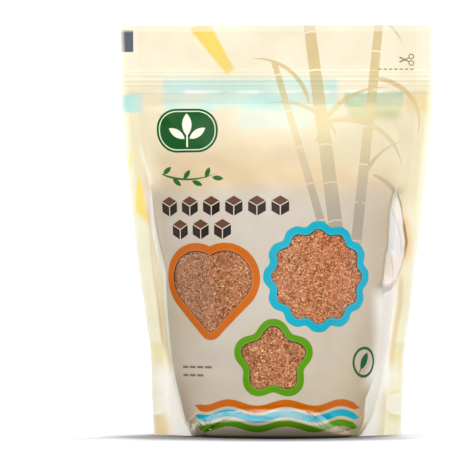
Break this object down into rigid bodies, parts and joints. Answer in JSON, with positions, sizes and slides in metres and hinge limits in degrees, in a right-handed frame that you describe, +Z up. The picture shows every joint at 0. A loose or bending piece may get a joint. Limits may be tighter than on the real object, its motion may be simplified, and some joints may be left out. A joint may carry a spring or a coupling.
{
  "type": "pouch of sugar",
  "caption": "Filled stand-up pouch of sugar: gusseted base, flat side seals, press-to-close strip under a sealed header, printed film with clear windows onto the sugar.",
  "frame": {"origin": "middle of the base, on the surface that the pouch stands on", "axes": "+X along the pouch's width, to the right seen from the front; the printed front faces -Y; +Z up, from the base to the sealed top edge"},
  "size_m": [0.1704, 0.0812, 0.224],
  "materials": {
    "printed_film": "satin",
    "clear_film": "gloss",
    "brown_sugar": "matte"
  },
  "bodies": {
    "root": {"pouch": "printed_film"}
  },
  "joints": []
}
